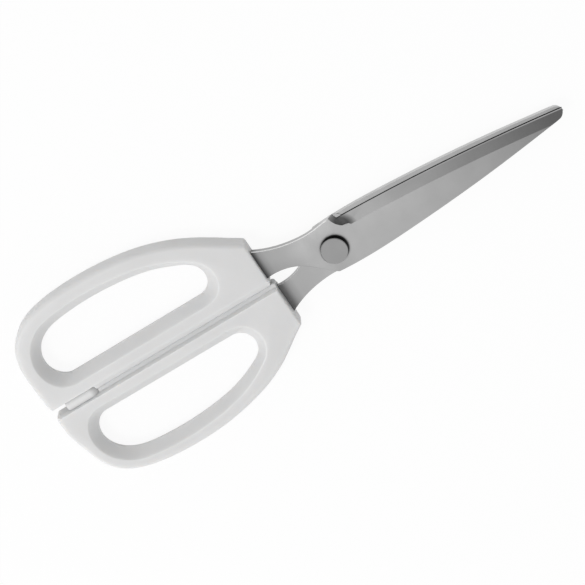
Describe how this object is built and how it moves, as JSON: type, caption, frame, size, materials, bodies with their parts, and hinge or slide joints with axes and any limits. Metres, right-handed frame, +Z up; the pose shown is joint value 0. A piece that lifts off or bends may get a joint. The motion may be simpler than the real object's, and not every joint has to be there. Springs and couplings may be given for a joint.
{
  "type": "kitchen shears",
  "caption": "Kitchen shears with two straight pointed steel blades, moulded loop handles that close against each other on a soft stop, and a flat round pivot head.",
  "frame": {"origin": "on the pivot axis, at the level of the surface that the closed shears lie on, which is the lower end of the pivot bolt", "axes": "+X towards the tip, +Y towards the loop of the front handle, +Z up, out of the pivot bolt's head"},
  "size_m": [0.2365, 0.0849, 0.01],
  "materials": {
    "blade_steel": "satin-ground stainless steel",
    "pivot_steel": "satin stainless steel",
    "spring_steel": "plain spring steel",
    "handle_plastic": "white ABS, moulded with a fine satin surface",
    "pad_rubber": "soft white thermoplastic rubber",
    "washer_plastic": "natural nylon"
  },
  "bodies": {
    "front_half": {"front_blade": "blade_steel", "front_handle": "handle_plastic", "pivot_bolt": "pivot_steel", "glide_washer": "washer_plastic", "spring_washer": "spring_steel", "pivot_nut": "pivot_steel"},
    "rear_half": {"rear_blade": "blade_steel", "rear_handle": "handle_plastic", "stop_pad": "pad_rubber"}
  },
  "joints": [
    {"name": "pivot", "type": "hinge", "parent": "front_half", "child": "rear_half", "pos_m": [0, 0, 0], "axis": [0, 0, 1], "range_deg": [0, 65]}
  ]
}
